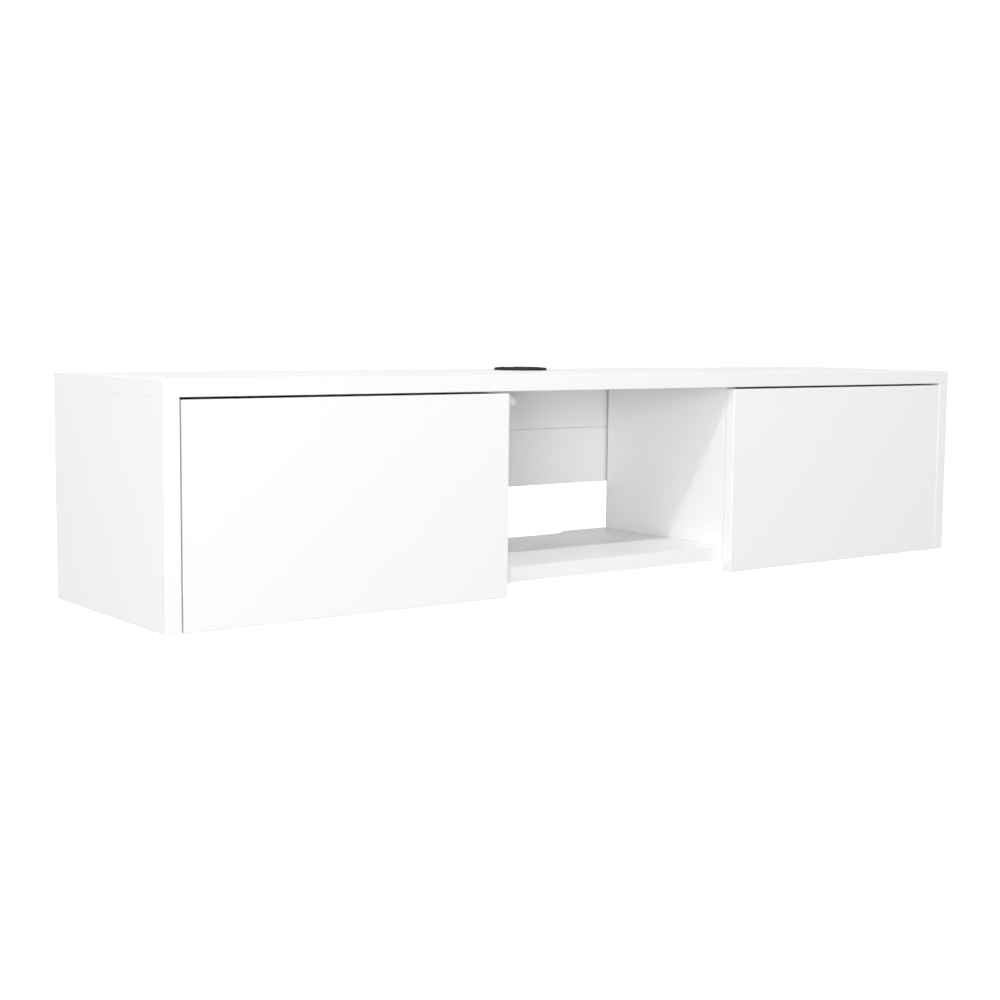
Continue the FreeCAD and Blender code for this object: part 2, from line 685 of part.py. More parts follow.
catch_screws = []
for side in SIDES:
    into = "x" if side == "left" else "-x"
    out = "-x" if side == "left" else "x"
    case_x, case_w = side_span(side, "divider_outer", "divider_outer + 15")
    case = block(f"{side}_catch_case", case_x, "inner_front + 0.4",
                 "catch_low + 9", case_w, "27", "catch_length - 18")
    tab_x, tab_w = side_span(side, "divider_outer", "divider_outer + 3")
    tabs = block(f"{side}_catch_tabs", tab_x, "inner_front + 8", "catch_low",
                 tab_w, "15", "catch_length")
    holes = []
    for number, z in enumerate(CATCH_SCREW_LEVELS):
        y = "inner_front + 15.4"
        start = "divider_outer - 1" if side == "right" else "divider_outer + 4"
        holes.append(rod(f"{side}_catch_hole_{number}", "x",
                         on_side(side, start), y, z, "1.65", "5"))
        x = on_side(side, "divider_outer + 3")
        shank = rod(f"{side}_catch_shank_{number}", into, x, y, z, "1.5", "14.5")
        head = taper(f"{side}_catch_head_{number}", out, x, y, z, "2.9", "1.9", "1.6")
        catch_screws.append(join(f"{side}_catch_screw_{number}", [shank, head]))
    catch_body = join(f"{side}_catch_body", [case, tabs])
    keep(remove(f"{side}_catch_part", catch_body, holes), f"{side}_magnetic_catch")

    strike_x, strike_w = side_span(side, "divider_outer + 1", "divider_outer + 14")
    plate = block(f"{side}_strike_blank", strike_x, "door_back", "catch_low + 2",
                  strike_w, "1.2", "catch_length - 4")
    x = on_side(side, "divider_outer + 7.5")
    z = "catch_low + catch_length / 2"
    seat = taper(f"{side}_strike_seat", "y", x, "door_back", z, "1.6", "2.8", "1.2")
    keep(remove(f"{side}_strike_part", plate, [seat]), f"{side}_strike_plate")
    shank = rod(f"{side}_strike_shank", "-y", x, "door_back + 0.1", z, "1.5", "10.9")
    head = taper(f"{side}_strike_head", "y", x, "door_back + 0.1", z, "1.5", "2.5", "1")
    keep(join(f"{side}_strike_screw_part", [shank, head]), f"{side}_strike_screw")

    bumpers = [
        rod(f"{side}_bumper_{number}", "y", on_side(side, DIVIDER_MIDDLE),
            "door_back", z, "4", "door_buffer - 0.1")
        for number, z in enumerate(("top_under - 12", "floor_level + 12"))
    ]
    group(f"{side}_door_bumpers", bumpers)
group("catch_screws", catch_screws)

# ---- cam fittings, dowels, screws and nails ----

cam_locks = []
cam_bolts = []
dowels = []


def cam_fitting(name, face, way, at, centre):
    """Cam in a board face and the bolt that comes to it from the joined board."""
    case = rod(f"{name}_case", face, *centre, "cam_bore / 2 - 0.1", "cam_depth - 0.2")
    slot = rod(f"{name}_slot", way, *at, "3.75", "cam_reach + 3.5")
    cam_locks.append(remove(f"{name}_lock", case, [slot]))
    back = {"x": "-x", "-x": "x", "-z": "z"}[way]
    thread = rod(f"{name}_thread", back, *at, "3.4", "cam_thread_depth - 0.3")
    stem = rod(f"{name}_stem", way, *at, "2.5", "cam_reach - 2")
    collar = rod(f"{name}_collar", way, *at, "3.9", "3")
    knob = doc.addObject("Part::Sphere", f"{name}_knob")
    bind(knob, "Radius", "3.4")
    axis = "z" if way == "-z" else "x"
    sign = "-" if way.startswith("-") else "+"
    for letter, text in zip("xyz", at):
        shift = f"{text} {sign} ( cam_reach - 1 )" if letter == axis else text
        bind(knob, f"Placement.Base.{letter}", shift)
    cam_bolts.append(join(f"{name}_bolt", [thread, stem, collar, knob]))


for side in SIDES:
    out = "-x" if side == "left" else "x"
    back_in = "x" if side == "left" else "-x"
    for row, y in enumerate(CAM_ROWS):
        x = on_side(side, SIDE_MIDDLE)
        cam_fitting(f"{side}_side_cam_{row}", out, "-z", (x, y, "top_under"),
                    (on_side(side, "side_inner + 0.1"), y, CAM_LEVEL))
        x = on_side(side, DIVIDER_MIDDLE)
        cam_fitting(f"{side}_divider_cam_{row}", back_in, "-z", (x, y, "top_under"),
                    (on_side(side, "divider_outer - 0.1"), y, CAM_LEVEL))
        x = on_side(side, "side_inner")
        cam_fitting(f"{side}_floor_cam_{row}", "z", back_in, (x, y, FLOOR_MIDDLE),
                    (on_side(side, "side_inner - cam_reach"), y, "floor_under + 0.1"))
    cam_fitting(
        f"{side}_rail_cam", "y", back_in,
        (on_side(side, "side_inner"), RAIL_BOLT, RAIL_CAM_LEVEL),
        (on_side(side, "side_inner - cam_reach"), "0.1 - rail_board",
         RAIL_CAM_LEVEL),
    )
    for row, y in enumerate(DOWEL_ROWS):
        for part, line in (("side", SIDE_MIDDLE), ("divider", DIVIDER_MIDDLE)):
            dowels.append(rod(f"{side}_{part}_dowel_{row}", "z", on_side(side, line), y,
                              "top_under - 19.5", "dowel_size / 2", "30"))
        low = "side_inner - 19.5" if side == "right" else "side_inner + 10.5"
        dowels.append(rod(f"{side}_floor_dowel_{row}", "x", on_side(side, low), y,
                          FLOOR_MIDDLE, "dowel_size / 2", "30"))
    low = "side_inner - 19.5" if side == "right" else "side_inner + 10.5"
    dowels.append(rod(f"{side}_rail_dowel", "x", on_side(side, low), RAIL_MIDDLE,
                      RAIL_DOWEL_LEVEL, "dowel_size / 2", "30"))
for number, x in enumerate(RAIL_DOWELS):
    dowels.append(rod(f"rail_top_dowel_{number}", "z", x, RAIL_MIDDLE,
                      "top_under - 19.5", "dowel_size / 2", "30"))
group("cam_locks", cam_locks)
group("cam_bolts", cam_bolts)
group("wood_dowels", dowels)

divider_screws = []
rail_screws = []
nails = []
for side in SIDES:
    x = on_side(side, DIVIDER_MIDDLE)
    for row, y in enumerate(CAM_ROWS):
        name = f"{side}_divider_screw_{row}"
        head = rod(f"{name}_head", "z", x, y, "floor_under + 0.1", "5", "3")
        neck = rod(f"{name}_neck", "z", x, y, "floor_under + 0.1", "3.4", "17.9")
        shank = rod(f"{name}_shank", "z", x, y, "floor_under + 0.1", "2.5", "50")
        divider_screws.append(join(name, [head, neck, shank]))
    for row, z in enumerate(RAIL_SCREW_LEVELS):
        name = f"{side}_rail_screw_{row}"
        head = taper(f"{name}_head", "-y", x, "- 0.1", z, "4", "2", "2.9")
        shank = rod(f"{name}_shank", "-y", x, "- 0.1", z, "2", "55")
        rail_screws.append(join(name, [head, shank]))
    for row, z in enumerate(NAIL_LEVELS):
        name = f"{side}_nail_{row}"
        head = rod(f"{name}_head", "y", x, "- rail_board", z, "1.8", "0.6")
        shank = rod(f"{name}_shank", "-y", x, "- rail_board", z, "0.75", "20")
        nails.append(join(name, [head, shank]))
group("divider_screws", divider_screws)
group("rail_screws", rail_screws)
group("back_panel_nails", nails)

# ---- cable outlet: liner in the top panel and its lift-out cap ----

OUTLET_Y = "- grommet_back"
sleeve = rod("outlet_sleeve", "z", "0", OUTLET_Y, "top_under - 2",
             "grommet_hole / 2 - 0.1", "board + 2")
flange = taper("outlet_flange", "z", "0", OUTLET_Y, "top_level",
               "grommet_flange / 2", "grommet_flange / 2 - 2.5", "grommet_lip")
liner = join("outlet_liner_body", [sleeve, flange])
bore = rod("outlet_bore", "z", "0", OUTLET_Y, "top_under - 3", "25.5", "board + 8")
seat = rod("outlet_seat", "z", "0", OUTLET_Y, "top_level - 2", "28", "8")
keep(remove("outlet_liner_part", liner, [bore, seat]), "grommet_liner")

disc = rod("cap_disc", "z", "0", OUTLET_Y, "top_level - 2", "27.9", "grommet_lip + 2.5")
slot_end = rod("cap_slot_end", "z", "0", "10 - grommet_back", "top_level - 3", "9", "8")
slot_run = block("cap_slot_run", "- 9", "10 - grommet_back", "top_level - 3",
                 "18", "22", "8")
keep(remove("outlet_cap_part", disc, [slot_end, slot_run]), "grommet_cap")

doc.recompute()

# ---- check and export ----

os.makedirs("parts", exist_ok=True)
for obj in doc.Objects:
    if "Invalid" in obj.State or "Error" in obj.State:
        raise RuntimeError(f"{obj.Name} is {obj.State}")
for obj in nodes:
    shape = obj.Shape
    if shape.isNull() or not shape.isValid() or not shape.Solids:
        raise RuntimeError(f"{obj.Label} has no valid solid")
    shape.exportStep(f"parts/{obj.Label}.step")
    box = shape.BoundBox
    print(obj.Label, len(shape.Solids), round(shape.Volume, 1),
          [round(v, 2) for v in (box.XMin, box.XMax, box.YMin, box.YMax,
                                 box.ZMin, box.ZMax)])
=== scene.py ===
import json
import math

import bmesh
import bpy
from mathutils import Matrix, Vector


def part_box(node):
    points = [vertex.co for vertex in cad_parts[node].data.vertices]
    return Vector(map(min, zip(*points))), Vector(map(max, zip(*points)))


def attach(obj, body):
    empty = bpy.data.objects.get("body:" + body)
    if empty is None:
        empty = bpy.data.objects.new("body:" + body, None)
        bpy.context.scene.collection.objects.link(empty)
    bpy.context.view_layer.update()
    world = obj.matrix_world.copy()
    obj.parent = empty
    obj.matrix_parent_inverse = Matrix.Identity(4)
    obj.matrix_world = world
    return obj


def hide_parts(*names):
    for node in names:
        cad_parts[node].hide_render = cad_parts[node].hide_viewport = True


# Wall-hung white television cabinet: finishes, fittings, light and camera.
# Lengths are in metres. X runs to the right, Y into the wall, Z up.

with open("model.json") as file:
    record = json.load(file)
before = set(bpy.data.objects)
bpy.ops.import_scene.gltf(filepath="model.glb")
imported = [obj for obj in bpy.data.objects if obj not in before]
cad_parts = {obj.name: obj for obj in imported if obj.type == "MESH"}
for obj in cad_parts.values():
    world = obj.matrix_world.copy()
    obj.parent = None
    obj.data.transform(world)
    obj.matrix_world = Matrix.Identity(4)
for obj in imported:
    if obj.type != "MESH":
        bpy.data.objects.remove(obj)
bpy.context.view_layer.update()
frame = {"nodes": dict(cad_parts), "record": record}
NODES = frame["nodes"]
RECORD = frame["record"]
SLOT = {row["node"]: row["material_slot"] for row in RECORD["subparts"]}
BODY = {
    node: body
    for body, members in RECORD["behaviour"]["bodies"].items()
    for node in members
}
SIDES = ("left", "right")
PLACES = ("upper", "lower")
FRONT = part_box("top_panel")[0].y
MM = 0.001
WELD = 0.004 * MM       # vertices closer than this are one
BOARD_EDGE = 0.5 * MM   # rounding of the boards' banded edges
BOARD_LEAST = 14 * MM   # shorter edges belong to bores and stay sharp
AMBIENT = 0.405         # strength of the world away from the backdrop
BACKDROP = 0.90         # strength of the world behind the cabinet
BACKDROP_WAY = (0.60, 0.79, 0.05)   # direction in which the backdrop stands
FLOOR_LEVEL = -1.1
CUP_RADIUS = 17.5 * MM
CUP_FLANGE = 0.8 * MM   # thickness of a hinge cup's flange

CAMERA_PLACE = (-1.3151, -1.7579, 0.1831)
CAMERA_TURN = (37.17, 5.875, 0.53)  # heading, tilt down and roll, degrees
CAMERA_LENS = 58.74
CAMERA_SENSOR = 36.0

# name, place, target, size, watts, colour
LIGHTS = (
    ("front_soft_box", (-7.5, -9.3, 0.2), (0.0, 0.0, 0.0),
     (5.4, 5.4), 850, (1, 1, 1)),
    ("left_soft_box", (-2.3, -0.75, 0.5), (-0.61, -0.14, 0.0),
     (1.0, 1.0), 15, (0.95, 0.975, 1.0)),
    ("overhead_soft_box", (0.0, -0.6, 3.4), (0.0, -0.15, 0.0),
     (2.5, 1.8), 20, (1, 1, 1)),
    ("overhead_key", (-0.75, -1.75, 2.7), (0.0, -0.15, 0.0),
     (0.22, 0.16), 41, (1, 1, 1)),
)


# ---------------------------------------------------------------- materials

def start_material(name, **constants):
    """New material and its node tree, with constants set on the shader itself."""
    mat = bpy.data.materials.new(name)
    mat.use_nodes = True
    tree = mat.node_tree
    shader = tree.nodes["Principled BSDF"]
    for socket, value in constants.items():
        shader.inputs[socket.replace("_", " ")].default_value = value
    return mat, tree, shader


def add(tree, kind, inputs=None, **settings):
    """Adds a node; an input is either a constant or another node's socket."""
    made = tree.nodes.new(kind)
    for key, value in settings.items():
        setattr(made, key, value)
    for key, value in (inputs or {}).items():
        if isinstance(value, bpy.types.NodeSocket):
            tree.links.new(value, made.inputs[key])
        else:
            made.inputs[key].default_value = value
    return made


def own_coords(tree, stretch=(1, 1, 1)):
    """The piece's own coordinates, stretched where a pattern has a direction."""
    coords = add(tree, "ShaderNodeTexCoord")
    mapping = add(
        tree, "ShaderNodeMapping",
        {"Vector": coords.outputs["Object"], "Scale": stretch},
    )
    return mapping.outputs["Vector"]


def noise(tree, vector, scale, detail=3.0, roughness=0.5):
    made = add(
        tree, "ShaderNodeTexNoise",
        {"Vector": vector, "Scale": scale, "Detail": detail, "Roughness": roughness},
    )
    return made.outputs["Fac"]


def spread(tree, value, low, high, from_low=0.3, from_high=0.7):
    """Maps a pattern's middle range onto low..high."""
    made = add(
        tree, "ShaderNodeMapRange",
        {"Value": value, "From Min": from_low, "From Max": from_high,
         "To Min": low, "To Max": high},
    )
    return made.outputs["Result"]


def maths(tree, operation, *values):
    made = add(tree, "ShaderNodeMath", operation=operation)
    for socket, value in zip(made.inputs, values):
        if isinstance(value, bpy.types.NodeSocket):
            tree.links.new(value, socket)
        else:
            socket.default_value = value
    return made.outputs[0]


def blend_colour(tree, factor, first, second, way="MIX"):
    made = add(tree, "ShaderNodeMix", data_type="RGBA", blend_type=way)
    for socket, value in ((0, factor), (6, first), (7, second)):
        if isinstance(value, bpy.types.NodeSocket):
            tree.links.new(value, made.inputs[socket])
        else:
            made.inputs[socket].default_value = value
    return made.outputs[2]


def relief(tree, shader, height, distance, strength):
    """Bump from a height pattern."""
    made = add(
        tree, "ShaderNodeBump",
        {"Height": height, "Distance": distance, "Strength": strength},
    )
    tree.links.new(made.outputs["Normal"], shader.inputs["Normal"])


def facing(tree, axis, limit):
    """1 on faces turned along an axis of the piece, 0 elsewhere."""
    coords = add(tree, "ShaderNodeTexCoord")
    parts = add(tree, "ShaderNodeSeparateXYZ", {"Vector": coords.outputs["Normal"]})
    value = parts.outputs[abs(axis) - 1]
    if axis < 0:
        value = maths(tree, "MULTIPLY", value, -1.0)
    return maths(tree, "GREATER_THAN", value, limit)


def rear_edge(tree):
    """The edges that face the wall are left sawn."""
    return facing(tree, 2, 0.9)


def rail_ends(tree):
    """The foil goes round the rails and leaves only their sawn ends bare."""
    return maths(tree, "MAXIMUM", facing(tree, 1, 0.9), facing(tree, -1, 0.9))


def chipboard(tree, vector):
    """Colour and height of a sawn chipboard edge."""
    chips = add(
        tree, "ShaderNodeTexVoronoi",
        {"Vector": vector, "Scale": 420.0, "Randomness": 1.0},
    )
    tone = add(tree, "ShaderNodeSeparateColor", {"Color": chips.outputs["Color"]})
    warm = blend_colour(
        tree, tone.outputs[0], (0.36, 0.24, 0.14, 1), (0.66, 0.50, 0.33, 1)
    )
    dust = noise(tree, vector, 1600.0, 2.0)
    colour = blend_colour(tree, spread(tree, dust, 0.0, 0.45), warm,
                          (0.22, 0.14, 0.08, 1))
    return colour, chips.outputs["Distance"]


def melamine(name, white, sawn=None):
    """White board face with a fine emboss, smooth edge band and a sawn edge."""
    mat, tree, shader = start_material(name, IOR=1.47)
    vector = own_coords(tree)
    broad = noise(tree, vector, 2.2, 2.0)
    mottled = noise(tree, vector, 95.0, 4.0, 0.6)
    face = blend_colour(
        tree, spread(tree, broad, 0.0, 1.0),
        tuple(c * 0.985 for c in white) + (1,), tuple(white) + (1,),
    )
    face = blend_colour(tree, spread(tree, mottled, 0.0, 0.035), face,
                        (0.72, 0.72, 0.70, 1))
    band = facing(tree, -2, 0.9)
    banded = blend_colour(
        tree, band, face, tuple(min(1, c * 1.012) for c in white) + (1,)
    )

    place = add(tree, "ShaderNodeSeparateXYZ", {"Vector": vector})
    glue = maths(tree, "COMPARE", place.outputs[1], FRONT + 0.8 * MM, 0.12 * MM)
    banded = blend_colour(tree, maths(tree, "MULTIPLY", glue, 0.35), banded,
                          (0.45, 0.42, 0.38, 1))

    smear = noise(tree, vector, 9.0, 3.0, 0.6)
    rough = spread(tree, smear, 0.30, 0.42)
    grain = noise(tree, vector, 1400.0, 2.0, 0.55)
    height = maths(tree, "MULTIPLY", grain, maths(tree, "SUBTRACT", 1.0, band))
    colour = banded
    if sawn is not None:
        raw = sawn(tree)
        wood, chips = chipboard(tree, vector)
        colour = blend_colour(tree, raw, banded, wood)
        rough = maths(tree, "ADD", rough, maths(tree, "MULTIPLY", raw, 0.45))
        height = maths(tree, "ADD", height, maths(tree, "MULTIPLY", raw,
                       maths(tree, "MULTIPLY", chips, 6.0)))
    tree.links.new(colour, shader.inputs["Base Color"])
    tree.links.new(rough, shader.inputs["Roughness"])
    relief(tree, shader, height, 0.05 * MM, 0.5)
    return mat


def hardboard(name):
    """White lacquered front face, brown screen-pressed rear face, and cut edges in a
    neutral dark grey that is painted shade for the shadow line in the narrow gaps
    behind the dividers.
    """
    mat, tree, shader = start_material(name)
    vector = own_coords(tree)
    front = facing(tree, -2, 0.9)
    fibres = noise(tree, vector, 240.0, 5.0, 0.65)
    brown = blend_colour(tree, spread(tree, fibres, 0.0, 1.0),
                         (0.20, 0.115, 0.06, 1), (0.36, 0.235, 0.14, 1))
    lacquer = blend_colour(tree, spread(tree, noise(tree, vector, 40.0), 0.0, 1.0),
                           (0.80, 0.80, 0.79, 1), (0.84, 0.84, 0.835, 1))
    rear = facing(tree, 2, 0.9)
    # Painted shade: the cut edges are neutral dark grey instead of brown fibre, so the
    # gap behind each divider reads as a shadow line.
    shadow_grey_edge = blend_colour(tree, spread(tree, fibres, 0.0, 1.0),
                            (0.15, 0.15, 0.15, 1), (0.24, 0.235, 0.23, 1))
    colour = blend_colour(tree, rear, shadow_grey_edge, brown)
    colour = blend_colour(tree, front, colour, lacquer)
    mesh = add(tree, "ShaderNodeTexChecker", {"Vector": vector, "Scale": 900.0})
    height = maths(tree, "MULTIPLY", mesh.outputs["Fac"],
                   maths(tree, "SUBTRACT", 1.0, front))
    height = maths(tree, "ADD", height, fibres)
    rough = maths(tree, "SUBTRACT", 0.85, maths(tree, "MULTIPLY", front, 0.4))
    tree.links.new(colour, shader.inputs["Base Color"])
    tree.links.new(rough, shader.inputs["Roughness"])
    relief(tree, shader, height, 0.08 * MM, 0.6)
    return mat


def plated_metal(name, tone, low, high, brushed=(60, 900, 900), depth=0.01):
    """Plated or cast metal with drawn scratches and a cloudy polish."""
    mat, tree, shader = start_material(name, Metallic=1.0)
    vector = own_coords(tree)
    cloud = noise(tree, vector, 160.0, 4.0, 0.6)
    lines = noise(tree, own_coords(tree, brushed), 3.0, 3.0, 0.6)
    colour = blend_colour(tree, spread(tree, cloud, 0.0, 1.0),
                          tuple(c * 0.88 for c in tone) + (1,), tuple(tone) + (1,))
    mixed = maths(tree, "ADD", maths(tree, "MULTIPLY", cloud, 0.5),
                  maths(tree, "MULTIPLY", lines, 0.5))
    tree.links.new(colour, shader.inputs["Base Color"])
    tree.links.new(spread(tree, mixed, low, high), shader.inputs["Roughness"])
    relief(tree, shader, lines, depth * MM, 0.4)
    return mat


def moulded_plastic(name, tone, low, high, grain=1100.0, depth=0.04, **constants):
    """Injection-moulded plastic with a spark-eroded grain and a few rub marks."""
    mat, tree, shader = start_material(name, **constants)
    vector = own_coords(tree)
    rub = noise(tree, vector, 55.0, 4.0, 0.65)
    colour = blend_colour(tree, spread(tree, rub, 0.0, 1.0), tuple(tone) + (1,),
                          tuple(min(1, c * 1.25 + 0.004) for c in tone) + (1,))
    tree.links.new(colour, shader.inputs["Base Color"])
    tree.links.new(spread(tree, rub, low, high), shader.inputs["Roughness"])
    relief(tree, shader, noise(tree, vector, grain, 3.0), depth * MM, 0.7)
    return mat


def beech_wood(name):
    """Turned beech with short darker flecks along the grain."""
    mat, tree, shader = start_material(name, Roughness=0.6)
    flecks = noise(tree, own_coords(tree, (300, 300, 60)), 4.0, 4.0, 0.6)
    colour = blend_colour(tree, spread(tree, flecks, 0.0, 1.0),
                          (0.46, 0.28, 0.15, 1), (0.72, 0.52, 0.33, 1))
    tree.links.new(colour, shader.inputs["Base Color"])
    relief(tree, shader, flecks, 0.05 * MM, 0.5)
    return mat


def seamless_paper(name):
    """Pale matt floor with a faint fibre, lit evenly from within."""
    mat, tree, shader = start_material(
        name, Roughness=0.9, Emission_Color=(1.0, 1.0, 1.0, 1), Emission_Strength=0.9)
    fibre = noise(tree, own_coords(tree), 6.0, 5.0)
    colour = blend_colour(tree, spread(tree, fibre, 0.0, 1.0),
                          (0.93, 0.93, 0.93, 1), (0.95, 0.95, 0.95, 1))
    tree.links.new(colour, shader.inputs["Base Color"])
    return mat


WHITE = (0.92, 0.92, 0.923)
PANEL = melamine("white_melamine_panel", WHITE, rear_edge)
DOOR = melamine("white_melamine_door", WHITE)
RAIL = melamine("white_melamine_rail", (0.885, 0.885, 0.89), rail_ends)
BACK = hardboard("white_faced_hardboard")
NICKEL = plated_metal("nickel_plate", (0.72, 0.70, 0.67), 0.16, 0.34)
ZINC = plated_metal("cast_zinc", (0.55, 0.55, 0.57), 0.38, 0.60,
                    brushed=(300, 300, 300), depth=0.03)
BLACK = moulded_plastic("black_outlet_plastic", (0.018, 0.018, 0.019), 0.55, 0.7,
                        Specular_IOR_Level=0.16)
CASE = moulded_plastic("white_catch_plastic", (0.80, 0.80, 0.79), 0.38, 0.5)
FERRITE = moulded_plastic("ferrite_magnet", (0.05, 0.045, 0.045), 0.55, 0.8,
                          grain=700.0, depth=0.08)
CLEAR = moulded_plastic("clear_bumper_gel", (0.78, 0.80, 0.80), 0.12, 0.22,
                        grain=200.0, depth=0.01, Transmission_Weight=0.75, IOR=1.49)
BEECH = beech_wood("fluted_beech")
FINISH = {
    "white_melamine": PANEL, "hardboard": BACK, "nickel_steel": NICKEL,
    "cast_zinc": ZINC, "black_plastic": BLACK, "beech": BEECH,
    "clear_bumper": CLEAR, "magnet_case": CASE,
}


# ---------------------------------------------------------------- mesh tools

def publish(bm, name, node, finish=None, smooth_angle=None, stands_for=True):
    """Makes a mesh a piece that rides with a CAD node's body, usually in its place."""
    bmesh.ops.recalc_face_normals(bm, faces=bm.faces)
    mesh = bpy.data.meshes.new(name)
    bm.to_mesh(mesh)
    bm.free()
    if smooth_angle is not None:
        mesh.shade_smooth()
        mesh.set_sharp_from_angle(angle=math.radians(smooth_angle))
    piece = bpy.data.objects.new(name, mesh)
    bpy.context.scene.collection.objects.link(piece)
    mesh.materials.append(finish or FINISH[SLOT[node]])
    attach(piece, BODY[node])
    if stands_for:
        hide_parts(node)
    return piece


def merged_copy(node):
    """Closed copy of a CAD node with its flat faces whole."""
    bm = bmesh.new()
    bm.from_mesh(NODES[node].data)
    bmesh.ops.remove_doubles(bm, verts=bm.verts, dist=WELD)
    bmesh.ops.dissolve_limit(bm, angle_limit=math.radians(0.5), verts=bm.verts,
                             edges=bm.edges)
    return bm


def ease_edges(bm, width, least=0.0, angle=50.0, segments=2):
    """Rounds the sharp edges that are longer than least."""
    sharp = [
        e for e in bm.edges
        if e.is_manifold and e.calc_length() > least
        and e.calc_face_angle(0.0) > math.radians(angle)
    ]
    bmesh.ops.bevel(bm, geom=sharp, offset=width, offset_type="OFFSET",
                    affect="EDGES", segments=segments, profile=0.5, material=-1,
                    clamp_overlap=True)


def dress(node, width, least=0.0, finish=None, segments=2, smooth_angle=None):
    """Stands an edge-rounded copy in for a CAD node."""
    bm = merged_copy(node)
    ease_edges(bm, width, least, segments=segments)
    return publish(bm, node + "_finished", node, finish, smooth_angle)


def loose_parts(node):
    """Lowest and highest corner of each separate solid in a CAD node."""
    bm = bmesh.new()
    bm.from_mesh(NODES[node].data)
    bmesh.ops.remove_doubles(bm, verts=bm.verts, dist=WELD)
    left = set(bm.verts)
    boxes = []
    while left:
        queue = [left.pop()]
        found = []
        while queue:
            vert = queue.pop()
            found.append(vert.co.copy())
            for edge in vert.link_edges:
                other = edge.other_vert(vert)
                if other in left:
                    left.remove(other)
                    queue.append(other)
        low = Vector(min(c[k] for c in found) for k in range(3))
        high = Vector(max(c[k] for c in found) for k in range(3))
        boxes.append((low, high))
    bm.free()
    return sorted(boxes, key=lambda pair: tuple(round(v, 5) for v in pair[0]))


def turned(profile, segments=48):
    """Solid of revolution about Z from (radius, height) points."""
    bm = bmesh.new()
    verts = [bm.verts.new((r, 0.0, z)) for r, z in profile]
    edges = [bm.edges.new(pair) for pair in zip(verts, verts[1:])]
    if profile[0][0] > 0:
        edges.append(bm.edges.new((verts[-1], verts[0])))
    bmesh.ops.spin(bm, geom=verts + edges, cent=(0, 0, 0), axis=(0, 0, 1),
                   angle=2 * math.pi, steps=segments, use_merge=True)
    bmesh.ops.remove_doubles(bm, verts=bm.verts, dist=0.001 * MM)
    return bm


def brick(low, high, width=0.0, segments=2):
    """Box between two corners with rounded edges."""
    bm = bmesh.new()
    size = [b - a for a, b in zip(low, high)]
    centre = [(a + b) / 2 for a, b in zip(low, high)]
    bmesh.ops.create_cube(bm, size=1.0, matrix=Matrix.Translation(centre)
                          @ Matrix.Diagonal((*size, 1.0)))
    if width:
        bmesh.ops.bevel(bm, geom=bm.edges[:], offset=width, offset_type="OFFSET",
                        affect="EDGES", segments=segments, profile=0.5, material=-1)
    return bm


def take(bm, other, matrix=None):
    """Adds another mesh, placed by a matrix, and frees it."""
    if matrix is not None:
        bmesh.ops.transform(other, matrix=matrix, verts=other.verts)
    mesh = bpy.data.meshes.new("part")
    other.to_mesh(mesh)
    other.free()
    bm.from_mesh(mesh)
    bpy.data.meshes.remove(mesh)


def carve(bm, cutter):
    """Cuts one closed mesh out of another."""
    pair = []
    for source in (bm, cutter):
        bmesh.ops.recalc_face_normals(source, faces=source.faces)
        mesh = bpy.data.meshes.new("carving")
        source.to_mesh(mesh)
        source.free()
        obj = bpy.data.objects.new("carving", mesh)
        bpy.context.scene.collection.objects.link(obj)
        pair.append(obj)
    blank, tool = pair
    cut = blank.modifiers.new("cut", "BOOLEAN")
    cut.operation = "DIFFERENCE"
    cut.solver = "EXACT"
    cut.object = tool
    bpy.context.view_layer.update()
    made = bpy.data.meshes.new_from_object(
        blank.evaluated_get(bpy.context.evaluated_depsgraph_get()))
    result = bmesh.new()
    result.from_mesh(made)
    for obj in pair:
        mesh = obj.data
        bpy.data.objects.remove(obj)
        bpy.data.meshes.remove(mesh)
    bpy.data.meshes.remove(made)
    return result


def aim(place, outward):
    """Matrix that takes local Z to outward at a place."""
    turn = Vector((0, 0, 1)).rotation_difference(Vector(outward))
    return Matrix.Translation(place) @ turn.to_matrix().to_4x4()


def cross_cutter(reach, width, depth):
    """Cross-shaped punch, wider at its open end, that points down through Z = 0."""
    half = width / 2
    quarter = [(reach, -half), (reach, half), (half, half)]
    bm = bmesh.new()
    rim = []
    for turn in (45, 135, 225, 315):
        spin = Matrix.Rotation(math.radians(turn), 3, "Z")
        rim += [bm.verts.new(spin @ Vector((x, y, depth))) for x, y in quarter]
    face = bm.faces.new(rim)
    grown = bmesh.ops.extrude_face_region(bm, geom=[face])
    tip = [g for g in grown["geom"] if isinstance(g, bmesh.types.BMVert)]
    bmesh.ops.translate(bm, vec=(0, 0, -2 * depth), verts=tip)
    bmesh.ops.scale(bm, vec=(0.5, 0.5, 1.0), verts=tip)
    return bm


def screw(head_radius, head_height, shank_radius, shank_length):
    """Cross-head screw along Z with its seat at Z = 0 and a threaded shank below."""
    rim = head_height * 0.25
    head = turned([
        (0, -0.2 * MM), (head_radius * 0.96, -0.2 * MM), (head_radius, 0.0),
        (head_radius, rim), (head_radius * 0.93, rim + head_height * 0.28),
        (head_radius * 0.72, head_height * 0.82),
        (head_radius * 0.4, head_height * 0.97), (0, head_height),
    ], 32)
    cutter = cross_cutter(head_radius * 0.62, head_radius * 0.26, head_height * 0.62)
    bmesh.ops.translate(cutter, vec=(0, 0, head_height * 0.98), verts=cutter.verts)
    head = carve(head, cutter)
    pitch = shank_radius * 0.7
    turns = max(2, int(shank_length / pitch) - 2)
    profile = [(0, 0.0), (shank_radius * 0.8, 0.0)]
    for k in range(turns):
        z = -(k + 1) * pitch
        profile += [(shank_radius * 0.78, z), (shank_radius, z - pitch * 0.5)]
    profile += [(shank_radius * 0.5, -shank_length + pitch * 0.4), (0, -shank_length)]
    take(head, turned(profile, 16))
    return head


